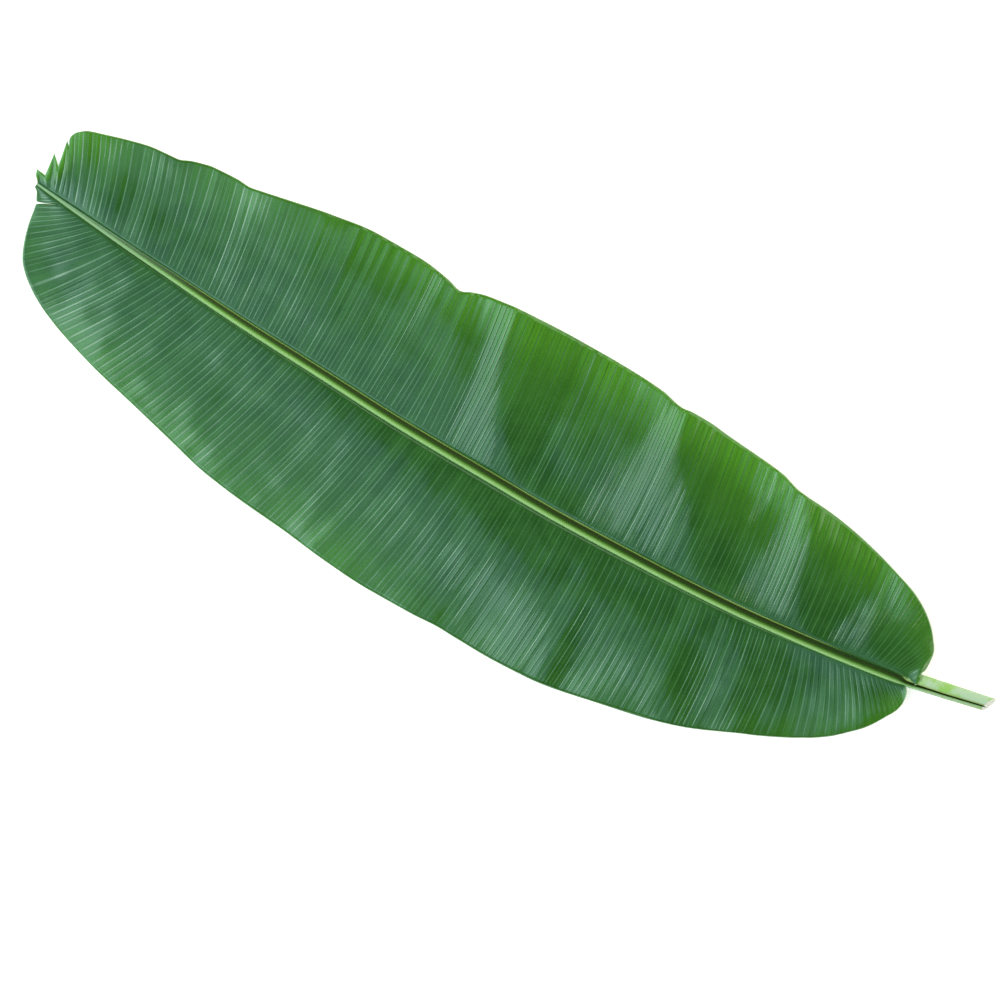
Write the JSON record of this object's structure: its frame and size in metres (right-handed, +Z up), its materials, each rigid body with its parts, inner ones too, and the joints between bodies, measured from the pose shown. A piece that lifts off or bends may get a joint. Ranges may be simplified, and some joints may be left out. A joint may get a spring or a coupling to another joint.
{
  "type": "banana leaf",
  "caption": "Long whole banana leaf with a channelled midrib, pleated and waved blade, torn tip and short cut stalk, lying upper side up.",
  "frame": {"origin": "on the surface that the leaf lies on, under the flat worn strip of the midrib, near the middle of the leaf", "axes": "+X along the midrib to the tip, +Y to the left half of the blade as seen from above with the tip ahead, +Z up"},
  "size_m": [1.2086, 0.3554, 0.0201],
  "materials": {
    "leaf_green": "satin"
  },
  "bodies": {
    "root": {"banana_leaf": "leaf_green"}
  },
  "joints": []
}
